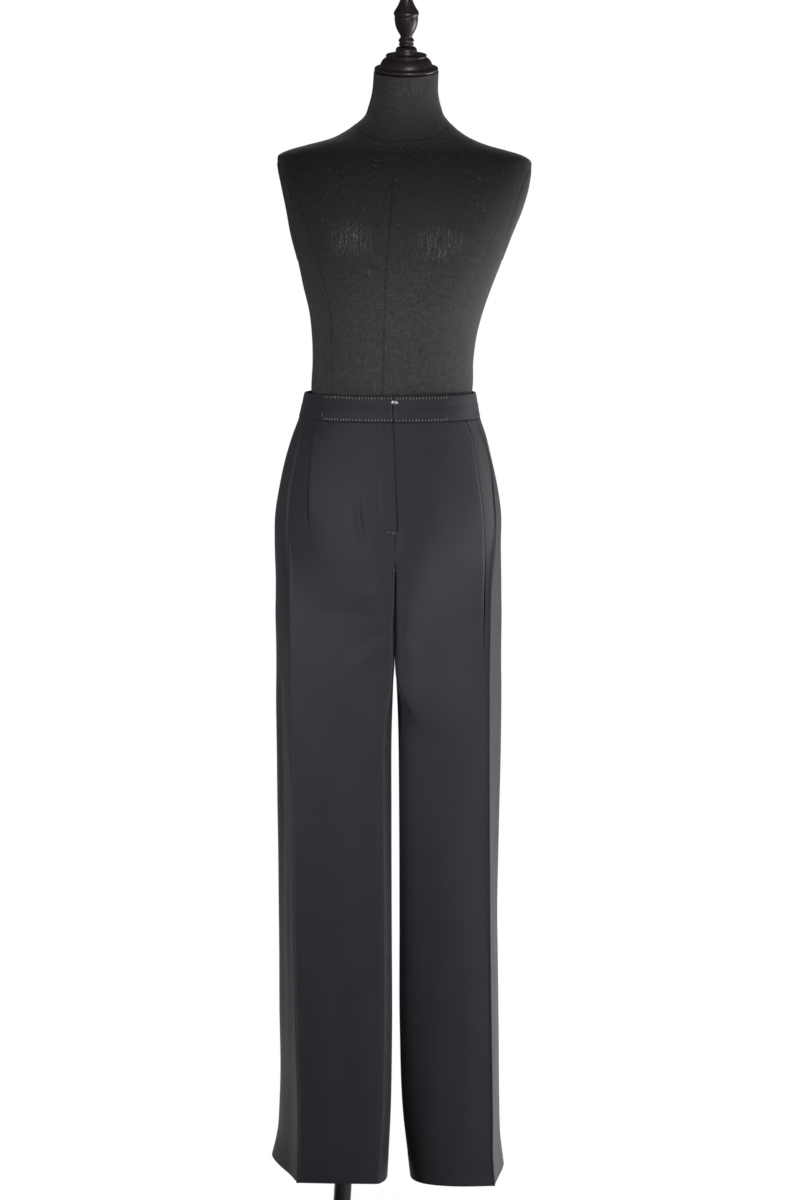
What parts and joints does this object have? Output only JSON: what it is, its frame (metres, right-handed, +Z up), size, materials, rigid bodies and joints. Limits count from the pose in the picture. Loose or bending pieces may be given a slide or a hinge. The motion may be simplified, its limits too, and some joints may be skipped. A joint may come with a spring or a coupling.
{
  "type": "palazzo trousers on a limbless dress form",
  "caption": "High-waisted pleated palazzo trousers with a fly front, worn by a limbless dress form on a pole and round base.",
  "frame": {"origin": "middle of the base plate's underside, at the foot of the pole", "axes": "+Z up; the wearer faces -Y; the wearer's right side is towards -X"},
  "size_m": [0.4359, 0.34, 1.8027],
  "materials": {
    "cloth": "charcoal crepe with a soft satin sheen",
    "form_cover": "black coarse plain weave, worn pale at the chest and neck",
    "turned_wood": "dark brown-black polish, glossy",
    "stand_metal": "black semi-gloss paint",
    "hook_metal": "nickel plate"
  },
  "bodies": {
    "root": {"front_leg_right": "cloth", "front_leg_left": "cloth", "back_leg_right": "cloth", "back_leg_left": "cloth", "fly_placket": "cloth", "waistband_front_right": "cloth", "waistband_front_left": "cloth", "waistband_back": "cloth", "waist_bar": "hook_metal", "waist_hook": "hook_metal", "torso_form": "form_cover", "pole": "stand_metal", "base_hub": "stand_metal", "base_plate": "stand_metal", "neck_cap": "turned_wood", "finial": "turned_wood"}
  },
  "joints": []
}
